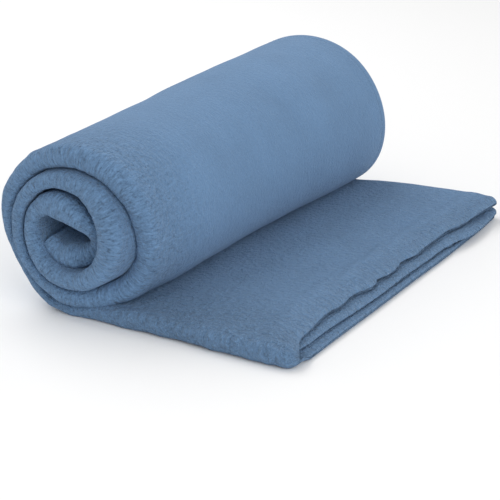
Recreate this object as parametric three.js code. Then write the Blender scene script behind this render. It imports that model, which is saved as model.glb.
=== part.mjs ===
// A plush quick dry towel, folded twice along its length and rolled up, with its free end lying out flat.
// One sheet of double-faced fleece makes the whole towel, and a lockstitch seam holds each of its four hems.
// Millimetres, +Z up, +Y along the roll, +X towards the free end, origin under the middle of the whole.

import * as THREE from "three";

// Driving dimensions of the sheet
const towelWidth = 1400; // cut width, which four folded layers share
const towelLength = 1000; // cut length, which the roll and the free end share
const layerThickness = 2.8; // one layer of fleece with the pile of both faces

// Driving dimensions of the folds and the roll
const layerGap = 0.4; // air between two folded layers
const wrapGap = 1.2; // air between two turns of the roll
const freeEnd = 182; // flat length from the end hem to under the roll's axis
const rollFlare = 0.06; // share by which the looser far end is larger
const coreRadius = 30; // of the last turn, where the inner end leaves it for the core
const coreBend = 10; // bend radius with which it leaves
const coreReturn = 15; // bend radius with which it comes back to the last turn
const coreRest = 0.48; // turns from where it leaves to where it comes back
const coreEnd = 36; // length that then lies along the last turn, up to the inner hem

// Driving dimensions of the hems
const hemInset = 8; // from the cut edge to the line of stitching
const threadDiameter = 0.6;
const seamWeb = 0.8; // cloth left between the needle thread and the bobbin thread
const threadClearance = 0.3; // air all round a thread in its seam
const seamStart = 3; // how far short of the cut edge a thread starts and stops

// Steps that round shapes are made of
const stepsPerTurn = 18;
const outerFoldSteps = 6;
const innerFoldSteps = 4;
const threadSides = 6;

const fleeceColour = 0x5f7fa6;
const threadColour = 0x54739a;

// Worked out from the driving dimensions
const foldedWidth = towelWidth / 4;
const layerPitch = layerThickness + layerGap;
const stripThickness = 4 * layerThickness + 3 * layerGap;
const stripMiddle = stripThickness / 2;
const seamFloor = threadDiameter / 2 + threadClearance; // half the width of a seam's floor
const seamMouth = seamFloor + 0.3; // half its width where it opens at the pile
const threadHeight = seamWeb / 2 + threadClearance + threadDiameter / 2; // from the layer's middle

// ---- The folded strip's centreline, seen along the roll -------------------------------------------------
// It runs from the end hem in under the roll, winds up and over it, and ends folded back in the core.
// Each station has its place from the roll's axis, its heading and the length of strip before it. Its left
// side is the roll's outside. Headings only ever turn clockwise, and keep counting past a whole turn.

const wrapPitch = stripThickness + wrapGap;
const tighten = wrapPitch / (2 * Math.PI);

function spiralStation(angle, radius) {
  const heading = Math.PI - angle - Math.atan2(tighten, radius);
  return { x: -radius * Math.sin(angle), z: -radius * Math.cos(angle), heading };
}

// The point at a distance to the right of a station, or to the left if it is negative
function rightOf(from, distance, heading = from.heading) {
  return { x: from.x + distance * Math.sin(heading), z: from.z - distance * Math.cos(heading), heading };
}

// Stations round a clockwise bend that ends on the heading asked for
function bend(from, radius, endHeading) {
  const turn = from.heading - endHeading;
  const steps = Math.max(2, Math.ceil((turn / (2 * Math.PI)) * stepsPerTurn));
  const centre = rightOf(from, radius);
  return Array.from({ length: steps }, (_, i) => {
    return rightOf(centre, -radius, from.heading - (turn * (i + 1)) / steps);
  });
}

// The heading of the straight length between two clockwise bends, counted on from the heading before them
function headingBetween(first, firstRadius, second, secondRadius, before) {
  const apart = Math.hypot(second.x - first.x, second.z - first.z);
  const towards = Math.atan2(second.z - first.z, second.x - first.x);
  const across = towards - Math.asin((firstRadius - secondRadius) / apart);
  const wholeTurns = Math.floor((before - across) / (2 * Math.PI));
  return across + wholeTurns * 2 * Math.PI;
}

// The inner end leaves the spiral at an angle, crosses the core, comes back to the last turn and follows it
function coreStations(angle) {
  const start = spiralStation(angle, coreRadius);
  const restAngle = angle + coreRest * 2 * Math.PI;
  const restRadius = coreRadius - wrapPitch * coreRest;
  const rest = spiralStation(restAngle, restRadius);
  const leaving = rightOf(start, coreBend);
  const returning = rightOf(rest, coreReturn);
  const across = headingBetween(leaving, coreBend, returning, coreReturn, start.heading);
  const stations = [start, ...bend(start, coreBend, across)];
  stations.push(...bend(rightOf(returning, -coreReturn, across), coreReturn, rest.heading));
  const endAngle = coreEnd / restRadius;
  const steps = Math.ceil((endAngle / (2 * Math.PI)) * stepsPerTurn);
  for (let i = 1; i <= steps; i++) {
    const turned = (endAngle * i) / steps;
    stations.push(spiralStation(restAngle + turned, restRadius - tighten * turned));
  }
  return stations;
}

function measured(stations) {
  stations[0].length = 0;
  for (let i = 1; i < stations.length; i++) {
    const step = Math.hypot(stations[i].x - stations[i - 1].x, stations[i].z - stations[i - 1].z);
    stations[i].length = stations[i - 1].length + step;
  }
  return stations;
}

// The spiral takes up what the flat end and the core leave of the towel's length, which sets the roll's size
const coreLength = measured(coreStations(0)).at(-1).length;
const spiralLength = towelLength - freeEnd - coreLength;
const spiralAngle = (Math.sqrt(coreRadius ** 2 + 2 * tighten * spiralLength) - coreRadius) / tighten;
const rollRadius = coreRadius + tighten * spiralAngle + stripMiddle;

function stripCentreline() {
  const underRoll = { x: 0, z: stripMiddle - rollRadius, heading: Math.PI };
  const stations = [{ ...underRoll, x: freeEnd }, underRoll];
  const step = (2 * Math.PI) / stepsPerTurn;
  for (let angle = step; angle < spiralAngle - step / 2; angle += step) {
    stations.push(spiralStation(angle, rollRadius - stripMiddle - tighten * angle));
  }
  return measured([...stations, ...coreStations(spiralAngle)]);
}

const centreline = stripCentreline();

const stripLength = centreline.at(-1).length;

// Place and heading at a length of strip
function alongStrip(length) {
  const next = centreline.findIndex((station, i) => i > 0 && station.length >= length);
  const b = centreline[next < 0 ? centreline.length - 1 : next];
  const a = centreline[centreline.indexOf(b) - 1];
  const share = (length - a.length) / (b.length - a.length);
  const between = (key) => a[key] + (b[key] - a[key]) * share;
  return { x: between("x"), z: between("z"), heading: between("heading"), rolled: a.length > 0 };
}

// ---- The fold, seen across the strip ---------------------------------------------------------------------
// The sheet runs from the lower side hem to the near edge, round the outer fold, back over the top, round
// the far fold, to the near edge again, round the inner fold, and out to the upper side hem.

const outerFoldRadius = 1.5 * layerPitch;
const innerFoldRadius = 0.5 * layerPitch;
const nearFoldY = -foldedWidth / 2 + outerFoldRadius + layerThickness / 2;
const farFoldY = foldedWidth / 2 - innerFoldRadius - layerThickness / 2;
const hemY = foldedWidth / 2;
const layerHeight = (layer) => layerThickness / 2 + layer * layerPitch;

// One place across the sheet: y and height in the folded strip, and the direction of the sheet's face
function foldArc(centreY, centreHeight, radius, fromAngle, turn, steps) {
  return Array.from({ length: steps + 1 }, (_, i) => {
    const angle = fromAngle + (turn * i) / steps;
    const faceY = Math.cos(angle) * Math.sign(-turn);
    const faceHeight = Math.sin(angle) * Math.sign(-turn);
    return {
      y: centreY + radius * Math.cos(angle),
      height: centreHeight + radius * Math.sin(angle),
      faceY,
      faceHeight,
    };
  });
}

// The two side hems lie one on the other: the sheet's face looks down on the lower one, up on the upper one
const sideHems = { lower: { layer: 0, face: -1 }, upper: { layer: 1, face: 1 } };

function onHem({ layer, face }, y) {
  return { y, height: layerHeight(layer), faceY: 0, faceHeight: face };
}

// Places across one side seam, from the hem inwards, with the half thickness of the layer at each
function sideSeam(hem) {
  const line = hemY - hemInset;
  const profile = [
    [seamMouth, layerThickness / 2],
    [seamFloor, seamWeb / 2],
    [-seamFloor, seamWeb / 2],
    [-seamMouth, layerThickness / 2],
  ];
  return profile.map(([offset, half]) => ({ ...onHem(hem, line + offset), half }));
}

function foldPlaces() {
  const quarter = Math.PI / 2;
  const places = [
    onHem(sideHems.lower, hemY),
    ...sideSeam(sideHems.lower),
    ...foldArc(nearFoldY, layerHeight(1.5), outerFoldRadius, -quarter, -Math.PI, outerFoldSteps),
    ...foldArc(farFoldY, layerHeight(2.5), innerFoldRadius, quarter, -Math.PI, innerFoldSteps),
    ...foldArc(nearFoldY, layerHeight(1.5), innerFoldRadius, quarter, Math.PI, innerFoldSteps),
    ...sideSeam(sideHems.upper).reverse(),
    onHem(sideHems.upper, hemY),
  ];
  return places.map((place) => ({ half: layerThickness / 2, ...place }));
}

const acrossSheet = foldPlaces();

// ---- From the sheet to the rolled towel ------------------------------------------------------------------

// The point at a length of strip, a place across the sheet and a distance out of the sheet's middle
function towelPoint(length, place, out) {
  const at = alongStrip(length);
  const y = place.y + place.faceY * out;
  const outside = stripMiddle - (place.height + place.faceHeight * out);
  const flare = at.rolled ? 1 + rollFlare * (y / foldedWidth + 0.5) : 1;
  const x = at.x * flare - Math.sin(at.heading) * outside;
  const z = stripMiddle + (at.z + rollRadius - stripMiddle) * flare + Math.cos(at.heading) * outside;
  return new THREE.Vector3(x, y, z);
}

// A closed body through rings of points. Each end is capped between the ring's two halves, which run side by
// side from its first point and its last.
function ringBody(rings) {
  const count = rings[0].length;
  const positions = rings.flat().flatMap((point) => point.toArray());
  const index = [];
  for (let i = 0; i + 1 < rings.length; i++) {
    for (let j = 0; j < count; j++) {
      const a = i * count + j;
      const b = i * count + ((j + 1) % count);
      index.push(a, b, a + count, b, b + count, a + count);
    }
  }
  const lastRing = (rings.length - 1) * count;
  for (let j = 0; j + 1 < count / 2; j++) {
    const across = count - 1 - j;
    index.push(j, across - 1, j + 1, j, across, across - 1);
    index.push(lastRing + j, lastRing + j + 1, lastRing + across - 1);
    index.push(lastRing + j, lastRing + across - 1, lastRing + across);
  }
  const geometry = new THREE.BufferGeometry();
  geometry.setAttribute("position", new THREE.Float32BufferAttribute(positions, 3));
  geometry.setIndex(index);
  return facingOut(geometry);
}

function signedVolume(geometry) {
  const position = geometry.getAttribute("position");
  const index = geometry.getIndex();
  const corners = [new THREE.Vector3(), new THREE.Vector3(), new THREE.Vector3()];
  let volume = 0;
  for (let i = 0; i < index.count; i += 3) {
    corners.forEach((corner, k) => corner.fromBufferAttribute(position, index.getX(i + k)));
    volume += corners[0].dot(corners[1].clone().cross(corners[2])) / 6;
  }
  return volume;
}

function facingOut(geometry) {
  if (signedVolume(geometry) < 0) {
    const flipped = Array.from(geometry.getIndex().array);
    for (let i = 0; i < flipped.length; i += 3) {
      [flipped[i + 1], flipped[i + 2]] = [flipped[i + 2], flipped[i + 1]];
    }
    geometry.setIndex(flipped);
  }
  geometry.computeVertexNormals();
  return geometry;
}

// ---- The sheet -------------------------------------------------------------------------------------------

// The lines of stitching along the two end hems, as lengths of strip
const endSeams = [hemInset, stripLength - hemInset];

// Lengths at which the sheet has a ring: the centreline's stations and the edges of the end seams
function sheetLengths() {
  const seamEdges = endSeams.flatMap((line) => {
    return [line - seamMouth, line - seamFloor, line + seamFloor, line + seamMouth];
  });
  const stations = centreline.map((station) => station.length);
  const clearOfSeams = stations.filter((length) => {
    return endSeams.every((line) => Math.abs(length - line) > 2 * seamMouth);
  });
  return [...clearOfSeams, ...seamEdges].sort((a, b) => a - b);
}

function halfThickness(length, place) {
  const inSeam = endSeams.some((line) => Math.abs(length - line) < (seamFloor + seamMouth) / 2);
  return inSeam ? seamWeb / 2 : place.half;
}

// Round the sheet's section: out along one face and back along the other
function sheetRing(length) {
  const face = acrossSheet.map((place) => towelPoint(length, place, halfThickness(length, place)));
  const back = acrossSheet.map((place) => towelPoint(length, place, -halfThickness(length, place)));
  return [...face, ...back.reverse()];
}

function fleeceSheet() {
  return ringBody(sheetLengths().map(sheetRing));
}

// ---- The hem threads -------------------------------------------------------------------------------------

const threadCorners = Array.from({ length: threadSides }, (_, i) => {
  const angle = (2 * Math.PI * (i + 0.5)) / threadSides;
  const radius = threadDiameter / 2;
  return new THREE.Vector2(radius * Math.cos(angle), radius * Math.sin(angle));
});

// A thread across the sheet, in the seam of an end hem
function endThread(line, side) {
  const shortened = acrossSheet
    .filter((place) => place.half === layerThickness / 2)
    .map((place) => (place.y === hemY ? { ...place, y: hemY - seamStart } : place));
  const rings = shortened.map((place) => {
    return threadCorners.map((corner) => towelPoint(line + corner.x, place, side * threadHeight + corner.y));
  });
  return ringBody(rings);
}

// A thread along the strip, in the seam of a side hem, between the two end hems' threads
function sideThread(hem, side) {
  const clear = hemInset + threadDiameter + threadClearance;
  const inner = centreline.map((station) => station.length);
  const between = inner.filter((length) => length > clear && length < stripLength - clear);
  const lengths = [clear, ...between, stripLength - clear];
  const rings = lengths.map((length) => {
    return threadCorners.map((corner) => {
      const place = onHem(hem, hemY - hemInset + corner.x);
      return towelPoint(length, place, side * threadHeight + corner.y);
    });
  });
  return ringBody(rings);
}

// ---- The assembly ----------------------------------------------------------------------------------------

function piece(name, geometry, color, roughness) {
  const material = new THREE.MeshStandardMaterial({ color, roughness, metalness: 0 });
  const mesh = new THREE.Mesh(geometry, material);
  mesh.name = name;
  return mesh;
}

const towel = new THREE.Group();
towel.add(piece("fleece_sheet", fleeceSheet(), fleeceColour, 0.95));

// The needle thread lies on the sheet's outer face and the bobbin thread on its inner face
const threadSide = { needle: 1, bobbin: -1 };
for (const [thread, side] of Object.entries(threadSide)) {
  const hems = {
    outer_end: endThread(endSeams[0], side),
    inner_end: endThread(endSeams[1], side),
    lower_side: sideThread(sideHems.lower, side),
    upper_side: sideThread(sideHems.upper, side),
  };
  for (const [hem, geometry] of Object.entries(hems)) {
    towel.add(piece(`${hem}_hem_${thread}_thread`, geometry, threadColour, 0.6));
  }
}

// The origin goes under the middle of the towel, on the surface it lies on
const box = new THREE.Box3().setFromObject(towel);
const middle = box.getCenter(new THREE.Vector3());
towel.position.set(-middle.x, -middle.y, -box.min.z);

export default towel;
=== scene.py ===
# %% [markdown]
# # A plush quick dry towel, folded, rolled and left with its free end out flat
# The towel is one sheet of double-faced fleece, a metre by one metre forty. It is folded in half twice, so
# four layers lie on each other, and the folded strip is rolled up. Each piece here stands where the packed
# model has its own, so this first cell loads that model and keeps its box, which gives the strip's width and
# place.

# %% Load the imported model
import math

import bmesh
import bpy
import numpy as np
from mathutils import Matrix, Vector


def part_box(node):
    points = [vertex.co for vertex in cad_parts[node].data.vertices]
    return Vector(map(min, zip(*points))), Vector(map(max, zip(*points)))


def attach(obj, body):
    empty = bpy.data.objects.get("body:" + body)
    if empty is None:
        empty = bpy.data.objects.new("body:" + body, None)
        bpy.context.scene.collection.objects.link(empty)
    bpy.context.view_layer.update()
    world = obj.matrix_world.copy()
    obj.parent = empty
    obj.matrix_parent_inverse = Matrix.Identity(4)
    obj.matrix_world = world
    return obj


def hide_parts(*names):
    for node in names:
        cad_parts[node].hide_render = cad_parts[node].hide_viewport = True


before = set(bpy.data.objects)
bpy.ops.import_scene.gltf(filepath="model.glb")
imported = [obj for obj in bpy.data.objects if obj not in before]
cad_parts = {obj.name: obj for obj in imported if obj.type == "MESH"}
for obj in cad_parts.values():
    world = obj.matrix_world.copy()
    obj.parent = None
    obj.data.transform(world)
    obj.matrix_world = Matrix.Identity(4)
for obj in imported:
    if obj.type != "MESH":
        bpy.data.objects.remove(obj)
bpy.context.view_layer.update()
sheet_low, sheet_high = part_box("fleece_sheet")

# %% [markdown]
# The camera comes first, because it tells which folds need the finest mesh. It looks down a little on the
# near end of the roll from the side of the free end. A long lens from about a metre away keeps the roll's
# edges nearly parallel, as in a catalogue picture. All lengths below are in millimetres from the point
# under the roll's axis, and one helper turns them into metres in the model's frame.

# %% Camera
free_end = 182.0  # flat length between the end hem and the roll's axis
folded_width = 1000 * (sheet_high.y - sheet_low.y)
axis_x = 1000 * sheet_high.x - free_end


def to_frame(points):
    """Millimetres from under the roll's axis to metres in the model's frame."""
    return (np.asarray(points, float) + [axis_x, 0, 0]) / 1000


camera_turn, camera_rise = math.radians(29.29), math.radians(19.8)
camera_target = to_frame([109.45, -112.62, 60.0])
camera_distance = 1.0966
towards_camera = np.array(
    [
        math.sin(camera_turn) * math.cos(camera_rise),
        -math.cos(camera_turn) * math.cos(camera_rise),
        math.sin(camera_rise),
    ]
)
lens = bpy.data.cameras.new("camera")
lens.lens, lens.sensor_width = 111.94, 36.0
lens.shift_x, lens.shift_y = -0.0087, -0.0241
camera = bpy.data.objects.new("camera", lens)
camera.location = camera_target + towards_camera * camera_distance
camera.rotation_euler = (math.pi / 2 - camera_rise, 0, camera_turn)
bpy.context.scene.collection.objects.link(camera)
bpy.context.scene.camera = camera
print("camera at", [round(c, 3) for c in camera.location])

# %% [markdown]
# Seen from its end, the rolled strip is a spiral. A towel that someone rolled by hand isn't a true spiral:
# its turns are tight at one side and puffed up at the other, and the first fold in the core is a flat flap.
# So the spiral is given as a table, the outside radius at each quarter turn, once for the loose folded end
# and once for the even rest of the roll. The strip's thickness follows, because the next turn lies inside it.

# %% The spiral's radius at each quarter turn
turn_gap = 0.8
near_radii = [66, 63.6, 62.8, 60, 56.2, 52.0, 43.6, 42.0, 43.4, 42.0, 27.8, 22.0, 28.5, 28.5]
even_radii = [67, 66, 63, 68, 54.4, 52.6, 50.0, 51.5, 41.6, 39.6, 37.0, 35.5, 28.6, 27.0]
last_quarter = 9.0
sag, sag_place, sag_width = 5.0, 3.5, 0.32  # the roll bulges above the free end, where nothing holds it
tuck, tuck_place, tuck_width = 1.4, 0.5, 0.3  # and is drawn in where the winding leaves the floor
packing = 3.88  # a stack of four layers is this many layer pitches high
print("the strip is wound", last_quarter / 4, "turns round its core")


def smooth_path(knots, values, at):
    """A natural cubic through values at knots, looked up at other places."""
    knots, values, at = (np.asarray(a, float) for a in (knots, values, at))
    step = np.diff(knots)
    n = len(knots)
    matrix = np.zeros((n, n))
    right = np.zeros((n,) + values.shape[1:])
    matrix[0, 0] = matrix[-1, -1] = 1
    slope = np.diff(values, axis=0) / step.reshape(-1, *[1] * (values.ndim - 1))
    for i in range(1, n - 1):
        matrix[i, i - 1 : i + 2] = step[i - 1], 2 * (step[i - 1] + step[i]), step[i]
        right[i] = 3 * (slope[i] - slope[i - 1])
    bend = np.linalg.solve(matrix, right)
    i = np.clip(np.searchsorted(knots, at) - 1, 0, n - 2)
    shape = (-1,) + (1,) * (values.ndim - 1)
    h, d = step[i].reshape(shape), (at - knots[i]).reshape(shape)
    b = slope[i] - h * (2 * bend[i] + bend[i + 1]) / 3
    return values[i] + b * d + bend[i] * d**2 + (bend[i + 1] - bend[i]) / (3 * h) * d**3


# %% [markdown]
# The folded strip's middle line is drawn from three lengths: the flat free end, the spiral, and the core.
# The core's flap is a handful of listed points, because that fold has no rule. The first column is
# how far along the roll's winding a point is, in quarter turns, and goes on counting through the core.

# %% The strip's middle line
core_points = np.array(
    [
        # quarters, x, height above the axis, stack height, how far it rises deeper in the roll
        [9.00, -35.4, 0.0, 12.4, 0.0],
        [9.30, -31.2, 10.2, 13.4, -1.0],
        [9.60, -22.8, 16.2, 16.6, -3.0],
        [9.90, -11.4, 16.8, 20.6, -6.0],
        [10.20, -0.8, 13.0, 20.8, -7.0],
        [10.55, 7.0, 7.6, 17.4, -5.0],
        [10.90, 12.6, 1.4, 13.4, -1.0],
        [11.25, 13.8, -8.8, 12.4, 0.0],
        [11.55, 9.6, -16.6, 14.6, 1.0],
        [11.85, 1.0, -20.8, 16.6, 3.0],
        [12.15, -9.0, -21.4, 16.8, 3.5],
        [12.45, -19.0, -18.6, 15.2, 3.0],
        [12.70, -26.4, -12.8, 13.0, 2.0],
    ]
)
tail_points = np.array(
    # quarters, x, stack height at the near fold, stack height elsewhere
    [
        [-1.0, 182.0, 15.6, 19.2],
        [-0.78, 140.0, 15.6, 18.8],
        [-0.55, 100.0, 15.4, 18.2],
        [-0.33, 60.0, 14.2, 15.8],
        [-0.2, 36.0, 12.8, 13.6],
        [-0.1, 18.0, 11.4, 12.8],
    ]
)


def middle_line(radii, tail_column, deep, at):
    """x, height and stack height of the strip's middle at each winding place in at."""
    axis = radii[0]
    rows = [[q, x, stack / 2, stack] for q, x, stack in tail_points[:, [0, 1, tail_column]]]
    for q in np.arange(0, last_quarter, 0.5):
        outer, inner = smooth_path(np.arange(len(radii)), radii, [q, q + 4])
        outer += sag * math.exp(-(((q - sag_place) / sag_width) ** 2))
        outer -= tuck * math.exp(-(((q - tuck_place) / tuck_width) ** 2))
        stack = outer - inner - turn_gap
        r, angle = (outer + inner + turn_gap) / 2, q * math.pi / 2
        rows.append([q, -r * math.sin(angle), axis - r * math.cos(angle), stack])
    for q, x, above, stack, rise in core_points:
        rows.append([q, x, axis + above + deep * rise, stack])
    rows = np.array(rows)
    return smooth_path(rows[:, 0], rows[:, 1:], at)


winding_steps = 4000
winding = np.linspace(tail_points[0, 0], core_points[-1, 0], winding_steps)
near_line = middle_line(near_radii, 2, 0, winding)
even_line = middle_line(even_radii, 3, 1, winding)
mean_line = (near_line + even_line) / 2
steps = np.hypot(*np.diff(mean_line[:, :2], axis=0).T)
length_at = np.concatenate([[0], np.cumsum(steps)])
strip_length = length_at[-1]
print("the rolled strip is", round(strip_length), "mm long")

# %% [markdown]
# Across the strip, the sheet runs from one side hem along the bottom layer, round the big outer fold at the
# near end, back along the top layer, round the far fold, and along the two middle layers to the other side
# hem. Each place across it is one column of the mesh. Columns are close together where the cloth bends or
# where it is seen from nearby, and far apart inside the stack. A few stand at fixed distances from the cut
# edge, so that its rounding and the groove of its stitches keep their shape.

# %% Places across the sheet
def ramp(start, stop, fine, coarse, reach):
    """Places from start to stop whose step grows from fine to coarse over reach."""
    places, sign = [start], math.copysign(1, stop - start)
    while abs(places[-1] - start) < abs(stop - start):
        done = abs(places[-1] - start)
        places.append(places[-1] + sign * (fine + (coarse - fine) * min(1, done / reach)))
    spread = (stop - start) / (places[-1] - start)
    return [start + (p - start) * spread for p in places]


BOTTOM, OUTER, TOP, FAR, LOWER_MIDDLE, INNER, UPPER_MIDDLE = range(7)
nose_steps, far_steps, inner_steps = 22, 10, 6  # round each of the folds
near_step, far_step, step_reach, hem_step = 0.005, 0.02, 0.25, 0.012  # shares of the width
hidden_columns = 24
hem_lines = [0, 0.25, 0.7, 1.3, 2.1, 4, 6.8, 7.4, 8, 8.6, 9.2]  # millimetres from a cut edge


def columns():
    """(part of the fold, place in it) for each column: a share of the width, or an angle in degrees."""
    rim = 1 - np.array(hem_lines + [12])[::-1] / folded_width
    near_to_hem = ramp(0, rim[0] - hem_step, near_step, far_step, step_reach) + rim.tolist()
    near_to_far = ramp(0, 1, near_step, far_step, step_reach)
    found = [(BOTTOM, v) for v in near_to_hem[::-1]]
    found += [(OUTER, -90 - 180 * i / nose_steps) for i in range(1, nose_steps)]
    found += [(TOP, v) for v in near_to_far]
    found += [(FAR, 90 - 180 * i / far_steps) for i in range(1, far_steps)]
    inside = np.linspace(0, 1, hidden_columns)
    found += [(UPPER_MIDDLE, v) for v in inside[::-1]]
    found += [(INNER, 90 + 180 * i / inner_steps) for i in range(1, inner_steps)]
    found += [(LOWER_MIDDLE, v) for v in np.concatenate([inside[:-2], rim])]
    return np.array(found)


across = columns()
print(len(across), "columns across the sheet")

# %% [markdown]
# Handmade cloth is never quite even. A smooth noise on the flat cloth, in millimetres along and across the
# sheet, gives the soft swells and dents of the pile. Its values come from a seeded table, so the towel is
# the same each time it is made.

# %% Smooth noise on the cloth
def swell(along, over, size, seed):
    """Smooth noise from -1 to 1 whose lumps are about size = (along, over) millimetres."""
    count, start = 512, 40.0
    table = np.random.RandomState(seed).uniform(-1, 1, (count, count))
    a, b = np.asarray(along) / size[0] + start, np.asarray(over) / size[1] + start
    i, j = np.floor(a).astype(int), np.floor(b).astype(int)
    u, v = (t * t * t * (t * (6 * t - 15) + 10) for t in (a - i, b - j))

    def row_between(k):
        return table[i % count, k % count] * (1 - u) + table[(i + 1) % count, k % count] * u

    return row_between(j) * (1 - v) + row_between(j + 1) * v


def ease(value):
    """0 below 0, 1 above 1, and smooth between."""
    value = np.clip(value, 0, 1)
    return value * value * (3 - 2 * value)


# %% [markdown]
# The turns of a loosely rolled towel slide along each other, so the near end is not flat: the second turn
# stands out towards the near side, and the first turn falls back behind it on the side of the free end.
# The table gives how far the folded edge stands out at places along the winding.

# %% How far each turn stands out at the near end
edges = np.array(
    # quarters, how far the near edge and the far edge stand out beyond the model's, in millimetres
    [
        [-1.0, 10.5, 3.5],
        [-0.8, 9.6, 3.5],
        [-0.5, 6.6, 3.5],
        [-0.1, 2.8, 2.0],
        [0.4, 1.6, 1.0],
        [1.0, 5.2, 1.0],
        [1.6, 5.0, 1.0],
        [2.0, 4.0, 1.0],
        [2.5, 0.0, 2.0],
        [3.0, -6.0, 4.0],
        [3.4, -9.0, 5.5],
        [3.7, -2.0, 4.0],
        [4.0, 8.0, -1.0],
        [4.4, 8.6, -1.0],
        [5.0, 8.2, -3.0],
        [6.0, 9.0, -4.0],
        [7.0, 12.0, -6.0],
        [8.0, 12.0, -8.0],
        [8.6, 10.0, -8.0],
        [9.2, 7.5, -8.0],
        [9.7, 9.0, -8.0],
        [10.4, 8.0, -8.0],
        [10.9, 2.0, -8.0],
        [11.4, -5.0, -9.0],
        [12.0, 2.0, -9.0],
        [12.7, 2.0, -9.0],
    ]
)
near_edge, far_edge = (smooth_path(edges[:, 0], edges[:, 1:], winding)).T
near_edge = -folded_width / 2 - near_edge
far_edge = folded_width / 2 + far_edge
print("the near end is at y", near_edge.min().round(1), "to", near_edge.max().round(1), "mm")

# %% [markdown]
# Every point of the sheet now follows from two numbers, its length along the strip and its column. The
# column gives y and the height in the folded stack, and the middle line carries that stack round the roll.
# The roll is a little looser at its far end, so the middle line grows with y there, and bulges over the
# free end. A layer keeps its thickness up to the cut edges, where it is rounded, and the stitches that
# hold a hem pull a shallow groove into the pile.

# %% The folded stack
flare = 0.068  # how much wider the roll is at its far end
far_bulge, far_bulge_place, far_bulge_width = 6.0, 3.35, 0.5  # millimetres, and quarters of the winding
flat_until, free_until = -0.6, -0.3  # quarters where the strip starts to rise and where the roll begins
layer_share = 0.465  # half a layer's thickness as a share of the layers' pitch
rim_share, rim_round = 0.2, 0.8  # thickness left at a cut edge, and how far in it is full, in half layers
seam_inset = 8.0  # from a cut edge to the stitches that hold its hem
seam_groove, seam_half_width = 0.25, 1.2
nose_depth = 70.0  # how deep into the roll the loose near end reaches
nose_bluntness = 0.85  # 1 would make the big fold a half circle
seen_quarters = 4.2  # the outer face shows up to here
first_row, last_row = 11.0, 10.5  # where the hems' own rows end, from each cut end
mean_layer = 2 * layer_share * near_line[:, 2].mean() / packing
print("a layer is about", round(mean_layer, 1), "mm thick at the near end")


def rows(step_outside, step_inside):
    """Lengths along the strip, close together at both cut ends and over the turn that is seen."""
    rim = np.sort(hem_lines + [5.6])
    seen = np.interp(seen_quarters, winding, length_at)
    body = np.arange(first_row, seen, step_outside)
    rest = np.arange(seen, strip_length - last_row, step_inside)
    return np.concatenate([rim, body, rest, strip_length - rim[::-1]])


def towards_seam(distance_from_edge):
    """1 on a line of stitching and 0 beside its groove."""
    away = np.abs(distance_from_edge - seam_inset) / seam_half_width
    return 0.5 + 0.5 * np.cos(math.pi * np.clip(away, 0, 1))


def stack_place(part, place, pitch, fold_y, far_y, hem_y):
    """y, height in the stack and the outer face's direction, for one column at every row."""
    one = np.ones_like(pitch)
    angle = math.radians(place)
    c, s = math.cos(angle), math.sin(angle)
    if part == OUTER:
        reach, rise = (1.5 * pitch * abs(v) ** nose_bluntness for v in (c, s))
        return fold_y - reach, math.copysign(1, s) * rise, c * one, s * one
    if part == FAR:
        return far_y + 0.5 * pitch * c, pitch * (1 + 0.5 * s), c * one, s * one
    if part == INNER:
        return fold_y + 0.5 * pitch * c, 0.5 * pitch * s, -c * one, -s * one
    layer, face = {BOTTOM: (0, -1), LOWER_MIDDLE: (1, 1), UPPER_MIDDLE: (2, -1), TOP: (3, 1)}[part]
    end = far_y if layer > 1 else hem_y
    return fold_y + place * (end - fold_y), (layer - 1.5) * pitch, 0 * one, face * one


# %% [markdown]
# At its free end the towel's four layers don't end in line. The two upper layers stop short of the lower
# two, in a wavy edge, and droop over it. Near the far corner the second layer from below bulges out and
# lifts. Each layer gets a table of where its edge is along y.

# %% The edges of the four layers at the free end
edge_tables = [
    # bottom layer: y, then distance of the edge from the roll's axis
    [(-176, 180), (-117, 180.6), (-55, 182), (17, 183), (55, 184), (95, 184.2), (136, 184), (176, 182.4)],
    # second layer
    [(-176, 164), (-168, 169), (-160, 171.6), (-145, 172.4), (-100, 174.4), (-46, 177.4), (-7, 177.6),
     (46, 179.2), (76, 181), (96, 186), (112, 188), (145, 187), (176, 184)],
    # third layer, hidden under the top one
    [(-176, 150), (-100, 150), (0, 152), (60, 154), (100, 165), (130, 177), (150, 181), (176, 184)],
    # top layer
    [(-176, 178.5), (-168, 175), (-160, 170.8), (-139, 168.2), (-125, 167), (-101, 166.4), (-92, 168),
     (-68, 166.6), (-56, 169.8), (-41, 171.8), (-30, 168.6), (-24, 170.8), (-13, 171.8), (-1, 171.3),
     (10, 169), (26, 172.1), (47, 171.8), (62, 172.2), (81, 173.4), (102, 175.8), (126, 178.8),
     (148, 181.6), (176, 184)],
]
edge_reach = 120.0  # how far from the edge the layers shift against each other
print("the layers' edges reach", [max(x for _, x in table) for table in edge_tables], "mm from the axis")


def edge_shift(y, layer, part):
    """How far the end edge at y lies beyond the model's, for a layer counted from below, 0 to 3."""
    places = []
    for table in edge_tables:
        knots, values = np.array(table, float).T
        places.append(smooth_path(knots, values, np.clip(y, knots[0], knots[-1])) - free_end)
    places = np.stack(places)
    if part == OUTER:  # the big fold joins the bottom layer to the top one past the other two
        places[1:3] = places[0] + (places[3] - places[0]) * np.array([1 / 3, 2 / 3])[:, None]
    below = np.clip(np.floor(layer).astype(int), 0, 2)
    share = np.clip(layer - below, 0, 1)
    low = np.take_along_axis(places, below[None], 0)[0]
    high = np.take_along_axis(places, below[None] + 1, 0)[0]
    return low * (1 - share) + high * share


# %% [markdown]
# Three more things happen in the last centimetres of the free end. The top layers droop over the lower ones
# and the second layer lifts near the far side. Layers whose edges meet press together into a lip: the lower
# two along the whole edge, and the upper two at the far fold. And both corners are rounded like the end of
# a cushion, because a folded edge has no sharp corner to give.

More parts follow.
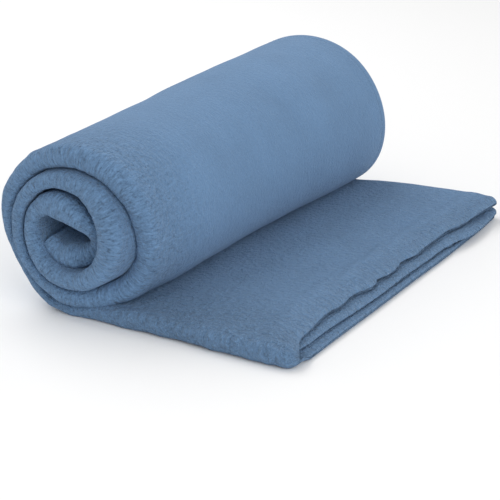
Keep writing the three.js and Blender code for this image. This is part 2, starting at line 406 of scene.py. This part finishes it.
# %% Droop, lips and corners of the free end
droop_height, droop_reach, droop_curve = 5.2, 17.0, 1.7  # of the top layers over the second one
lift_height, lift_place, lift_width, lift_reach = 1.8, 88.0, 16.0, 50.0  # of the second layer
lip_reach, low_lip, far_lip, near_share = 7.0, 0.45, 0.85, 0.3
low_seam, high_seam = 0.94, 2.94  # heights where the lower and the upper two layers meet, in layers
cap_reach, near_cap, far_cap = 9.0, 12.0, 7.0  # how round the corners are
cap_share, cap_height = 0.94, 1.7  # how far they close, and round which height, in layers
fold_zone, fold_fade = 26.0, 12.0  # how far the big fold's stiffness reaches
far_zone, far_fade = 60.0, 40.0  # and the far fold's
print("the top layers droop", droop_height, "mm in the last", droop_reach, "mm")


def shape_end(y, z, lengths, layer, pitch, edge, hem_y):
    """y and z of one column, with the droop, lips and corners of the free end."""
    at_fold = ease((edge + fold_zone - y) / fold_fade)
    at_far = ease((y - hem_y + far_zone) / far_fade)
    droop = droop_height * np.clip(1 - lengths / droop_reach, 0, 1) ** droop_curve * ease(layer - 2)
    lift = lift_height * np.exp(-(((y - lift_place) / lift_width) ** 2))
    z = z - droop * (1 - at_fold) * (1 - at_far) + lift * ease(layer) * (1 - ease(lengths / lift_reach))
    lip, upper = np.clip(1 - lengths / lip_reach, 0, 1) ** 2, ease(layer - 1)
    low = low_lip * lip * (1 - upper) * (1 - at_fold) * (near_share + (1 - near_share) * ease(layer))
    z = z + (low_seam * pitch - z) * low
    z = z + (high_seam * pitch - z) * far_lip * lip * upper * at_far
    cap = cap_share * (1 - np.sqrt(1 - np.clip(1 - lengths / cap_reach, 0, 1) ** 2))
    z = z + (cap_height * pitch - z) * cap * at_fold
    return y + (np.clip(edge + near_cap - y, 0, None) - np.clip(y - hem_y + far_cap, 0, None)) * cap, z


# %% [markdown]
# Two shares go with each point for the finish: how ruffled the pile is, which is most at the big fold of
# the roll, and how much it stands in tufts, which is most at the big fold and the edge of the free end.

# %% How ruffled and tufted the pile is
ruffle_reach, ruffle_curve = 42.0, 1.5  # how ruffles fade away from the fold
free_calm = 0.7  # how much less ruffled the free end is than the roll
tuft_reach, tuft_curve, roll_tufts = 75.0, 1.6, 0.35  # and the same for tufts, of which the roll has fewer
edge_tufts, edge_tuft_reach = 0.75, 26.0  # along the cut edge of the free end
least_tufts, free_tufts = 0.1, 0.3  # everywhere, and what the free end has more


def pile_shares(y, edge, q, lengths):
    """How ruffled and how tufted the pile of one column is, from 0 to 1."""
    from_fold = np.clip(y - edge, 0, None)
    free = 1 - ease(1 - q / free_until)
    ruffle = np.exp(-((from_fold / ruffle_reach) ** ruffle_curve)) * (1 - free * free_calm)
    tufting = np.exp(-((from_fold / tuft_reach) ** tuft_curve)) * (roll_tufts + (1 - roll_tufts) * free)
    tufting = np.maximum(tufting, edge_tufts * np.exp(-((lengths / edge_tuft_reach) ** 2)))
    return ruffle, np.maximum(tufting, free_tufts * free + least_tufts)


fold, middle = np.transpose(pile_shares(np.array([0.0, folded_width / 2]), 0.0, seen_quarters, strip_length))
print("ruffled and tufted:", fold.round(2), "at the fold and", middle.round(2), "in the middle of the roll")


# %% [markdown]
# All of that comes together in one function, which turns rows and columns of the flat sheet into points.
# It gives the outer or the inner face, and can stay a little above it, as the hem threads do.

# %% From the flat sheet to the rolled towel
def line_at(line, lengths):
    """x, height and stack height of a middle line, at lengths along the strip."""
    return np.stack([np.interp(lengths, length_at, line[:, k]) for k in range(3)])


def left_of(line, lengths):
    """Unit directions in x and height that stand square to a middle line."""
    run = (line_at(line, lengths + 0.5) - line_at(line, lengths - 0.5))[:2]
    return np.stack([-run[1], run[0]]) / np.hypot(*run)


def towel_grid(lengths, parts, side, above=0.0):
    """Points of one face of the sheet, for rows at lengths and columns at parts.

    side is 1 for the outer face and -1 for the inner one. Points may stand above the face, by a number
    or by one for each row and column. A second table tells of each point how far along and over the cloth
    it is, in millimetres, and how ruffled and tufted the pile is there.
    """
    above = np.broadcast_to(above, (len(lengths), len(parts)))
    q = np.interp(lengths, length_at, winding)
    near, even = line_at(near_line, lengths), line_at(even_line, lengths)
    near_side, even_side = left_of(near_line, lengths), left_of(even_line, lengths)
    edge, hem_y = np.interp(q, winding, near_edge), np.interp(q, winding, far_edge)
    near_pitch = near[2] / packing
    half_near = layer_share * near_pitch
    folds = near_pitch, edge + 1.5 * near_pitch + half_near, hem_y - half_near - 0.5 * near_pitch, hem_y
    rim = np.minimum(lengths, strip_length - lengths)
    points = np.empty((len(lengths), len(parts), 3))
    cloth = np.empty((len(lengths), len(parts), 4))
    over, before = 0.0, None
    for j, (part, place) in enumerate(parts):
        y, height, face_y, face_up = stack_place(part, place, *folds)
        if before:
            over += np.mean(np.hypot(y - before[0], height - before[1]))
        before = y, height
        deep = ease((y - edge) / nose_depth)
        pitch = near_pitch * (1 - deep) + even[2] / packing * deep
        height = height * pitch / near_pitch
        layer = height / pitch + 1.5
        half = layer_share * pitch
        hem = (hem_y - y) if part in (BOTTOM, LOWER_MIDDLE) else math.inf
        to_rim = np.clip(np.minimum(rim, hem) / (rim_round * half), 0, 1)
        thick = half * (rim_share + (1 - rim_share) * np.sqrt(1 - (1 - to_rim) ** 2))
        groove = seam_groove * np.maximum(towards_seam(rim), towards_seam(hem))
        out = side * (thick - groove + above[:, j])
        y, height = y + face_y * out, height + face_up * out
        grow = 1 + flare * ease(y / folded_width + 0.5) * ease(1 - q / flat_until)
        away = near_side * (1 - deep) + even_side * deep
        away = away / np.hypot(*away)
        bulge = np.exp(-(((q - far_bulge_place) / far_bulge_width) ** 2)) * ease(2 * y / folded_width)
        centre = (near[:2] * (1 - deep) + even[:2] * deep) * grow + away * far_bulge * bulge
        x, z = centre - away * height
        x = x + edge_shift(y, layer, part) * (1 - ease(lengths / edge_reach))
        y, z = shape_end(y, z, lengths, layer, pitch, edge, hem_y)
        points[:, j] = np.stack([x, y, z], 1)
        cloth[:, j] = np.stack([lengths, np.full_like(lengths, over), *pile_shares(y, edge, q, lengths)], 1)
    return points, cloth


fine_rows = rows(step_outside=2.0, step_inside=2.6)
points, cloth = towel_grid(fine_rows, across, 1)
print("outer face", points.shape, "from", points.min((0, 1)).round(1), "to", points.max((0, 1)).round(1))

# %% [markdown]
# The outer face also swells and dips a little, most of all near the folded edge, where the pile is ruffled.
# The swells are noises of five sizes, from the dents of a hand to single tufts. Along both end edges a low
# ridge shows where the turned-in edge of the hem ends. On the floor the cloth is pressed flat.

# %% Swells of the pile
ridge_height, ridge_place, ridge_width = 1.2, 22.0, 4.5
calm_edge, calm_fade, highest = 10.0, 8.0, 1.0  # the hems and their seams don't swell


def face_normals(grid):
    """Unit normals of a grid of points, from its rows and columns."""
    normal = np.cross(np.gradient(grid, axis=1), np.gradient(grid, axis=0))
    return normal / np.linalg.norm(normal, axis=2, keepdims=True)


everywhere = 1
along, over, ruffled, tufted = np.moveaxis(cloth, -1, 0)
swells = [
    # millimetres high, size of a lump along and over the cloth, seed, where
    (0.55, (70, 55), 3, everywhere),
    (0.3, (24, 30), 5, everywhere),
    (0.48, (9, 16), 7, ruffled),
    (0.256, (4.2, 8), 11, ruffled),
    (0.5, (11, 12), 13, tufted),
]
height = sum(high * where * swell(along, over, size, seed) for high, size, seed, where in swells)
rim_distance = np.minimum(along, strip_length - along)
hem_distance = np.minimum(over, over.max() - over)
height += ridge_height * np.exp(-(((rim_distance - ridge_place) / ridge_width) ** 2))
height *= ease((np.minimum(rim_distance, hem_distance) - calm_edge) / calm_fade)
outer_normals = face_normals(points)
inner_points, _ = towel_grid(fine_rows, across, -1)
outer_normals *= np.sign(np.mean(np.sum(outer_normals * (points - inner_points), axis=2)))
points = points + outer_normals * np.minimum(height, highest)[..., None]
points[..., 2] = np.maximum(points[..., 2], 0)
print("swells from", height.min().round(2), "to", height.max().round(2), "mm")

# %% [markdown]
# The sheet is one closed body: a fine grid for the outer face, a coarser one for the inner face, which only
# shows between the layers, and a narrow band round the cut edges that joins the two. The coarse grid keeps
# every row and column near a hem and every third one elsewhere, so the two never part at an edge.

# %% Join the two faces into one closed sheet
def thinned(count, skip, whole):
    """Every skip-th number below count, and all of the first and last few."""
    numbers = np.arange(count)
    return numbers[(numbers % skip == 0) | (numbers < whole) | (numbers >= count - whole)]


hem_steps = len(hem_lines) + 1  # rows or columns that shape a hem and its seam
back_rows, back_columns = (thinned(count, 3, hem_steps) for count in (len(fine_rows), len(across)))
back_points, back_cloth = towel_grid(fine_rows[back_rows], across[back_columns], -1)
back_points[..., 2] = np.maximum(back_points[..., 2], 0)


def grid_faces(index):
    """Quads of a grid of point numbers."""
    return np.stack([index[:-1, :-1], index[:-1, 1:], index[1:, 1:], index[1:, :-1]], -1).reshape(-1, 4)


def zip_edges(first, second, first_places, second_places):
    """Triangles between two rows of points that run side by side."""
    found, i, j = [], 0, 0
    last_i, last_j = len(first) - 1, len(second) - 1
    while i < last_i or j < last_j:
        if j == last_j or (i < last_i and first_places[i + 1] <= second_places[j + 1]):
            found.append((first[i], first[i + 1], second[j]))
            i += 1
        else:
            found.append((first[i], second[j + 1], second[j]))
            j += 1
    return found


front_index = np.arange(points[..., 0].size).reshape(points.shape[:2])
back_index = front_index.size + np.arange(back_points[..., 0].size).reshape(back_points.shape[:2])
front_faces, back_faces = grid_faces(front_index), grid_faces(back_index)[:, ::-1]
rim_faces, rim_places = [], []
end_rims, end_rim_width, end_margin = (0.004, 0.988), 0.008, 0.01  # shares of the map
side_rims, side_rim_width, side_margin = (0.705, 0.722), 0.009, 0.02


def add_rim(front, back, front_places, back_places, flip, place_on_map):
    """One cut edge: its faces, and where each face's corners go on the map."""
    where = {v: place_on_map(at, 0) for v, at in zip(front, front_places / front_places[-1])}
    where.update({v: place_on_map(at, 1) for v, at in zip(back, back_places / front_places[-1])})
    for face in zip_edges(front, back, front_places, back_places):
        face = face[::-1] if flip else face
        rim_faces.append(face)
        rim_places.extend(where[v] for v in face)


every_row, every_column = np.arange(len(fine_rows)), np.arange(len(across))
for row, flip, u in zip((0, -1), (False, True), end_rims):
    add_rim(front_index[row], back_index[row], every_column, back_columns, flip,
            lambda at, side: (u + end_rim_width * side, end_margin + (1 - 2 * end_margin) * at))
for column, flip, v in zip((0, -1), (True, False), side_rims):
    add_rim(front_index[:, column], back_index[:, column], every_row, back_rows, flip,
            lambda at, side: (side_margin + (1 - 2 * side_margin) * at, v + side_rim_width * side))
print(len(front_faces), "outer,", len(back_faces), "inner and", len(rim_faces), "rim faces")

# %% [markdown]
# Blender needs coordinates on the cloth for two jobs. The map called OFBake gives every face its own place
# in one picture, for whoever bakes the finish into one. The attribute called cloth holds the length along
# the towel, the length across it, both in metres, and how ruffled the pile is there. A second attribute,
# tufting, holds how much the pile stands in tufts.

# %% Make the sheet's mesh
def add_mesh(name, vertices, faces):
    """A mesh object from points in millimetres."""
    mesh = bpy.data.meshes.new(name)
    mesh.from_pydata(to_frame(vertices).tolist(), [], faces)
    mesh.update()
    obj = bpy.data.objects.new(name, mesh)
    bpy.context.scene.collection.objects.link(obj)
    mesh.polygons.foreach_set("use_smooth", [True] * len(mesh.polygons))
    return obj


vertices = np.concatenate([points.reshape(-1, 3), back_points.reshape(-1, 3)])
faces = front_faces.tolist() + back_faces.tolist() + [list(face) for face in rim_faces]
fleece = add_mesh("plush_sheet", vertices, faces)
cloth_places = np.concatenate([cloth.reshape(-1, 4), back_cloth.reshape(-1, 4)])
cloth_attribute = fleece.data.attributes.new("cloth", "FLOAT_VECTOR", "POINT")
cloth_attribute.data.foreach_set("vector", (cloth_places[:, :3] * [0.001, 0.001, 1]).ravel())
tufting_attribute = fleece.data.attributes.new("tufting", "FLOAT", "POINT")
tufting_attribute.data.foreach_set("value", cloth_places[:, 3])
outer_band, inner_band = (0.01, 0.70), (0.74, 0.99)  # heights on the map


def map_of(places, band):
    """Places on the cloth as coordinates in one band of the map."""
    u = side_margin + (1 - 2 * side_margin) * places[..., 0] / strip_length
    v = band[0] + (band[1] - band[0]) * places[..., 1] / over.max()
    return np.stack([u, v], -1).reshape(-1, 2)


flat_map = np.concatenate([map_of(cloth, outer_band), map_of(back_cloth, inner_band)])
loops = np.empty(len(fleece.data.loops), int)
fleece.data.loops.foreach_get("vertex_index", loops)
corner_map = flat_map[loops]
corner_map[4 * (len(front_faces) + len(back_faces)) :] = rim_places
bake_map = fleece.data.uv_layers.new(name="OFBake")
bake_map.data.foreach_set("uv", corner_map.ravel())
print("sheet of", len(fleece.data.vertices), "points and", len(fleece.data.polygons), "faces")

# %% [markdown]
# A sheet that is open along an edge, or that looks inwards, would bake and print badly. Each of its edges
# should have two faces, and its volume is above zero only if its faces look outwards.

# %% Check that the sheet is closed and faces outwards
checked = bmesh.new()
checked.from_mesh(fleece.data)
open_edges = sum(1 for edge in checked.edges if len(edge.link_faces) != 2)
volume = checked.calc_volume(signed=True)
checked.free()
print("open edges:", open_edges, "volume:", round(volume * 1e6), "cubic centimetres")

# %% [markdown]
# Each of the four cut edges is turned and sewn down with a lockstitch: one thread from the needle shows on
# the outer face, and one from the bobbin on the inner face. Both are continuous, and at the end of each
# stitch they dip into the cloth to lock round each other. So each thread is one tube that follows the cloth
# and dips every few millimetres, a little higher than the groove it pulls into the pile.

# %% Hem threads
thread_radius, thread_sides, thread_step = 0.3, 5, 0.8
stitch_length, dip_share, dip_depth, thread_height = 4.0, 0.3, 1.0, 0.08
any_way = [0.31, 0.17, 0.94]  # a direction that no thread takes


def even_steps(curve, step):
    """The same curve with points at even steps along it."""
    run = np.concatenate([[0], np.cumsum(np.linalg.norm(np.diff(curve, axis=0), axis=1))])
    at = np.linspace(0, run[-1], int(run[-1] / step) + 1)
    return np.stack([smooth_path(run, curve[:, k], at) for k in range(3)], 1), at


def tube(path, radius, sides):
    """Vertices and faces of a closed tube along a path of points."""
    run = np.gradient(path, axis=0)
    run /= np.linalg.norm(run, axis=1, keepdims=True)
    side_way = np.cross(run, any_way)
    side_way /= np.linalg.norm(side_way, axis=1, keepdims=True)
    up_way = np.cross(side_way, run)
    turn = 2 * math.pi * np.arange(sides) / sides
    ring = np.cos(turn)[:, None] * side_way[:, None] + np.sin(turn)[:, None] * up_way[:, None]
    vertices = (path[:, None] + radius * ring).reshape(-1, 3)
    index = np.arange(len(vertices)).reshape(-1, sides)
    beside = np.roll(index, -1, axis=1)
    faces = np.stack([index[:-1], beside[:-1], beside[1:], index[1:]], -1).reshape(-1, 4).tolist()
    return vertices, faces + [index[0].tolist(), index[-1, ::-1].tolist()]


def stitched_thread(hem, face_name, lengths, parts, side):
    """One hem thread on one face of the sheet, along a row or a column of the cloth."""
    crest, _ = towel_grid(lengths, parts, side, above=thread_height)
    lock, _ = towel_grid(lengths, parts, side, above=thread_height - dip_depth)
    crest, at = even_steps(crest.reshape(-1, 3), thread_step)
    lock, _ = even_steps(lock.reshape(-1, 3), thread_step)
    lock = np.stack([np.interp(at, np.linspace(0, at[-1], len(lock)), lock[:, k]) for k in range(3)], 1)
    in_stitch = (at / stitch_length) % 1
    dip = ease(1 - np.minimum(in_stitch, 1 - in_stitch) / dip_share)[:, None]
    vertices, faces = tube(crest * (1 - dip) + lock * dip, thread_radius, thread_sides)
    vertices[:, 2] = np.maximum(vertices[:, 2], 0)
    thread = add_mesh(f"{hem}_{face_name}_stitches", vertices, faces)
    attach(thread, "root")
    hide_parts(f"{hem}_hem_{face_name}_thread")
    return thread


seam_rows = {"outer_end": np.array([seam_inset]), "inner_end": np.array([strip_length - seam_inset])}
seam_columns = {"lower_side": BOTTOM, "upper_side": LOWER_MIDDLE}
cross_share = 0.9985  # share of the width where the threads across the sheet end
ends = np.array([0.6, 2.0])  # the threads of the long sides start and end just inside the sheet
side_lengths = np.concatenate([ends, np.arange(4.0, strip_length - 4.0, 2.0), strip_length - ends[::-1]])
end_parts = across[(across[:, 0] != BOTTOM) & (across[:, 0] != LOWER_MIDDLE) | (across[:, 1] < cross_share)]
threads = []
for face_name, side in (("needle", 1), ("bobbin", -1)):
    for hem, lengths in seam_rows.items():
        threads.append(stitched_thread(hem, face_name, lengths, end_parts, side))
    for hem, part in seam_columns.items():
        column = np.array([(part, 1 - seam_inset / folded_width)])
        threads.append(stitched_thread(hem, face_name, side_lengths, column, side))
print(len(threads), "threads,", sum(len(t.data.vertices) for t in threads), "points")

# %% [markdown]
# The finish of cloth is made of shader nodes, and most of them are plain sums of noises. Three helpers make
# an empty group with named sockets, a math node, and a noise measured in millimetres on the cloth.

# %% Shader helpers
def new_group(name, inputs, outputs):
    """An empty shader group, with (name, kind, default) inputs and (name, kind) outputs."""
    group = bpy.data.node_groups.new(name, "ShaderNodeTree")
    for label, kind, default in inputs:
        socket = group.interface.new_socket(label, in_out="INPUT", socket_type=kind)
        socket.default_value = default
    for label, kind in outputs:
        group.interface.new_socket(label, in_out="OUTPUT", socket_type=kind)
    return group, group.nodes.new("NodeGroupInput"), group.nodes.new("NodeGroupOutput")


def math_node(tree, operation, first, second, third=None):
    """A math node whose inputs are sockets or numbers; gives its output."""
    node = tree.nodes.new("ShaderNodeMath")
    node.operation = operation
    for socket, value in zip(node.inputs, (first, second, third)):
        if hasattr(value, "is_linked"):
            tree.links.new(value, socket)
        elif value is not None:
            socket.default_value = value
    return node.outputs[0]


def noise_node(tree, place, size, roughness=0.5):
    """Noise about 0, seldom beyond -1 and 1, with lumps of size = (along, over, up) millimetres."""
    scaled = tree.nodes.new("ShaderNodeVectorMath")
    scaled.operation = "MULTIPLY"
    scaled.inputs[1].default_value = [1000 / length for length in size]
    tree.links.new(place, scaled.inputs[0])
    noise = tree.nodes.new("ShaderNodeTexNoise")
    for label, value in (("Scale", 1.0), ("Detail", 3.0), ("Roughness", roughness)):
        noise.inputs[label].default_value = value
    tree.links.new(scaled.outputs[0], noise.inputs["Vector"])
    return math_node(tree, "MULTIPLY_ADD", noise.outputs["Fac"], 4.0, -2.0)


# %% [markdown]
# Fleece and thread are dyed together, so they share one way of varying the dye: broad soft patches where the
# pile has been stroked one way or another, and a fine grain from the tips and roots of the fibres. Where the
# pile is ruffled it also has streaks, and painted shade darkens the gaps between parted tufts. Where it
# stands in tufts, painted light and shade follows the relief's tufts, lighter on their crowns and darker
# between them.
# It is a group with named inputs, so a towel of another colour or a coarser pile needs only other numbers.

# %% Dye and painted shade group
tuft_size, tuft_detail = (4.6, 4.0, 4.6), 0.7  # painted tuft light and shade: the dye's and the relief's tufts are the same noise
pit_shade_floor = 0.1  # only noise above this paints shade into a pit


def dye_and_shade_group():
    """Varies a dye colour over the cloth, and paints shade into pits and light and shade onto tufts."""
    group, given, result = new_group(
        "pile_dye_and_shade",
        [("Place", "NodeSocketVector", (0, 0, 0)), ("Dye", "NodeSocketColor", (0.13, 0.22, 0.37, 1)),
         ("Ruffle", "NodeSocketFloat", 0.0), ("Tufting", "NodeSocketFloat", 0.0),
         ("Patches", "NodeSocketFloat", 0.05), ("Grain", "NodeSocketFloat", 0.08),
         ("Streaks", "NodeSocketFloat", 0.15), ("Pits", "NodeSocketFloat", 0.4),
         ("Tufts", "NodeSocketFloat", 0.1)],
        [("Color", "NodeSocketColor")],
    )
    place, ruffle, tufting = (given.outputs[label] for label in ("Place", "Ruffle", "Tufting"))

    def times(first, second):
        return math_node(group, "MULTIPLY", first, second)

    broad = noise_node(group, place, (60, 45, 60))
    brushed = noise_node(group, place, (14, 34, 14))
    patches = times(math_node(group, "MULTIPLY_ADD", brushed, 0.5, broad), given.outputs["Patches"])
    grain = times(noise_node(group, place, (1.2, 1.4, 1.2), 0.65), given.outputs["Grain"])
    grain = times(grain, math_node(group, "MULTIPLY_ADD", tufting, 1.4, 0.9))
    streaks = times(noise_node(group, place, (1.8, 6.5, 1.8), 0.65), ruffle)
    streaks = times(streaks, given.outputs["Streaks"])
    # painted shade: darkens the gaps between parted tufts where the ruffled pile parts
    pit_shade_mask = noise_node(group, place, (1.9, 2.8, 1.9), 0.65)
    pit_shade_mask = math_node(group, "MAXIMUM", math_node(group, "SUBTRACT", pit_shade_mask, pit_shade_floor), 0.0)
    pit_shade = times(times(pit_shade_mask, ruffle), given.outputs["Pits"])
    # painted light and shade on the tufts: the relief's own tuft noise, lighter where tufts rise, darker
    # between them
    tuft_relief_and_shade = times(times(noise_node(group, place, tuft_size, tuft_detail), tufting), given.outputs["Tufts"])
    factor = 1.0
    for part in (patches, grain, streaks, tuft_relief_and_shade):
        factor = math_node(group, "ADD", factor, part)
    factor = math_node(group, "SUBTRACT", factor, pit_shade)
    scale = group.nodes.new("ShaderNodeVectorMath")
    scale.operation = "SCALE"
    group.links.new(given.outputs["Dye"], scale.inputs[0])
    group.links.new(factor, scale.inputs["Scale"])
    group.links.new(scale.outputs[0], result.inputs["Color"])
    return group


pile_dye_and_shade = dye_and_shade_group()
print("group", pile_dye_and_shade.name, "takes", [item.name for item in pile_dye_and_shade.interface.items_tree])

# %% [markdown]
# Plush pile is thousands of fibres a few millimetres long. Lying flat they give only a fine fuzz, but where
# the cloth is bent sharply they part into tufts and into streaks that run across the fold. The relief group
# makes a height in metres for a Bump node: fuzz everywhere, streaks and tufts where the cloth is ruffled.

# %% Relief group
def relief_group():
    """Height of the pile, in metres."""
    group, given, result = new_group(
        "pile_relief",
        [("Place", "NodeSocketVector", (0, 0, 0)), ("Ruffle", "NodeSocketFloat", 0.0),
         ("Tufting", "NodeSocketFloat", 0.0), ("Fuzz", "NodeSocketFloat", 0.00010),
         ("Streaks", "NodeSocketFloat", 0.0005), ("Tufts", "NodeSocketFloat", 0.0004)],
        [("Height", "NodeSocketFloat")],
    )
    place = given.outputs["Place"]

    def part_of(size, roughness, *sockets):
        height = noise_node(group, place, size, roughness)
        for label in sockets:
            height = math_node(group, "MULTIPLY", height, given.outputs[label])
        return height

    fuzz = part_of((1.6, 1.6, 1.6), 0.6, "Fuzz")
    streaks = part_of((2.0, 7.0, 2.0), 0.6, "Streaks", "Ruffle")
    tuft_relief_and_shade = part_of(tuft_size, tuft_detail, "Tufts", "Tufting")
    total = math_node(group, "ADD", fuzz, math_node(group, "ADD", streaks, tuft_relief_and_shade))
    group.links.new(total, result.inputs["Height"])
    return group


pile_relief = relief_group()
print("group", pile_relief.name, "takes", [item.name for item in pile_relief.interface.items_tree])

# %% [markdown]
# The fleece itself is matt, with the soft sheen of fine fibres seen edge on. Sheen is a number on the shader,
# so it stays with the material wherever the towel is shown. The group of dye and painted shade and the relief
# group read the attributes cloth and tufting, so their patterns follow the cloth round the roll and do not
# slide over it. The thread is smoother and takes the dye a little deeper, from a colour of its own.

# %% Fleece and thread materials
def use_group(tree, group, **values):
    """A copy of a shader group in a material, with its numbers set."""
    node = tree.nodes.new("ShaderNodeGroup")
    node.node_tree = group
    for label, value in values.items():
        node.inputs[label].default_value = value
    return node


def new_material(name, **values):
    """A material, its node tree and its shader, with the shader's numbers set."""
    material = bpy.data.materials.new(name)
    material.use_nodes = True
    shader = material.node_tree.nodes["Principled BSDF"]
    for label, value in values.items():
        shader.inputs[label.replace("_", " ")].default_value = value
    return material, material.node_tree, shader


def fleece_material():
    """Plush fleece whose pattern follows the cloth."""
    material, tree, shader = new_material(
        "plush_fleece", Roughness=0.92, Specular_IOR_Level=0.2,
        Sheen_Weight=0.25, Sheen_Roughness=0.5, Sheen_Tint=(0.62, 0.78, 1.0, 1),
    )
    cloth_node = tree.nodes.new("ShaderNodeAttribute")
    cloth_node.attribute_name = "cloth"
    parts_node = tree.nodes.new("ShaderNodeSeparateXYZ")
    tree.links.new(cloth_node.outputs["Vector"], parts_node.inputs[0])
    place = tree.nodes.new("ShaderNodeCombineXYZ")
    tree.links.new(parts_node.outputs["X"], place.inputs["X"])
    tree.links.new(parts_node.outputs["Y"], place.inputs["Y"])
    tufting = tree.nodes.new("ShaderNodeAttribute")
    tufting.attribute_name = "tufting"
    # besides the dye, this group paints shade into the pits and light and shade onto the tufts
    dye = use_group(tree, pile_dye_and_shade, Dye=fleece_dye, Patches=0.06, Grain=0.13, Streaks=0.3, Pits=0.6,
                    Tufts=0.3)
    relief = use_group(tree, pile_relief, Fuzz=0.00036, Streaks=0.0011, Tufts=0.004)
    for node in (dye, relief):
        tree.links.new(place.outputs[0], node.inputs["Place"])
        tree.links.new(parts_node.outputs["Z"], node.inputs["Ruffle"])
        tree.links.new(tufting.outputs["Fac"], node.inputs["Tufting"])
    bump = tree.nodes.new("ShaderNodeBump")
    bump.inputs["Distance"].default_value = 1.0
    bump.inputs["Strength"].default_value = 0.8
    tree.links.new(relief.outputs["Height"], bump.inputs["Height"])
    tree.links.new(bump.outputs["Normal"], shader.inputs["Normal"])
    tree.links.new(dye.outputs["Color"], shader.inputs["Base Color"])
    return material


def thread_material():
    """Sewing thread dyed to match the fleece."""
    material, tree, shader = new_material("hem_thread", Roughness=0.6, Sheen_Weight=0.15)
    spot = tree.nodes.new("ShaderNodeTexCoord")
    dye = use_group(tree, pile_dye_and_shade, Dye=thread_dye, Patches=0.03, Grain=0.12)
    tree.links.new(spot.outputs["Object"], dye.inputs["Place"])
    tree.links.new(dye.outputs["Color"], shader.inputs["Base Color"])
    return material


fleece_dye, thread_dye = (0.127, 0.232, 0.392, 1), (0.115, 0.21, 0.36, 1)
fleece.data.materials.append(fleece_material())
hem_material = thread_material()
for thread in threads:
    thread.data.materials.append(hem_material)
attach(fleece, "root")
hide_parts("fleece_sheet")
print("materials:", [m.name for m in bpy.data.materials])

# %% [markdown]
# The towel lies on a plain pale floor in soft light. A white room all round gives the even light of a
# studio. One broad lamp, high on the left and a little behind, makes the top of the roll brighter, and a
# second one low on the right opens up the shadow between the roll and its free end.

# %% Floor and light
bpy.context.scene.view_settings.view_transform = "Standard"
world = bpy.data.worlds.new("studio")
bpy.context.scene.world = world
world.use_nodes = True
room = world.node_tree.nodes["Background"]
room.inputs["Color"].default_value = (1, 1, 1, 1)
room.inputs["Strength"].default_value = 0.69
floor_reach, floor_gap = 3000, 0.1
corners = floor_reach * np.array([(-1, -1, 0), (1, -1, 0), (1, 1, 0), (-1, 1, 0)]) - [0, 0, floor_gap]
floor = add_mesh("floor", corners, [(0, 1, 2, 3)])
floor_material, _, _ = new_material("pale_floor", Base_Color=(0.92, 0.92, 0.92, 1), Roughness=0.9)
floor.data.materials.append(floor_material)


lamp_aim = Vector((0, 0, 0.05))


def area_light(name, place, size, power):
    """A square soft lamp aimed at the towel; metres and watts."""
    data = bpy.data.lights.new(name, "AREA")
    data.shape, data.size, data.energy = "SQUARE", size, power
    light = bpy.data.objects.new(name, data)
    light.location = place
    light.rotation_euler = (lamp_aim - Vector(place)).to_track_quat("-Z", "Y").to_euler()
    bpy.context.scene.collection.objects.link(light)


area_light("key", (-1.1, 0.3, 1.5), 1.4, 15.6)
area_light("fill", (1.4, -1.0, 0.8), 1.2, 13)
print("lamps:", [light.name for light in bpy.data.lights])
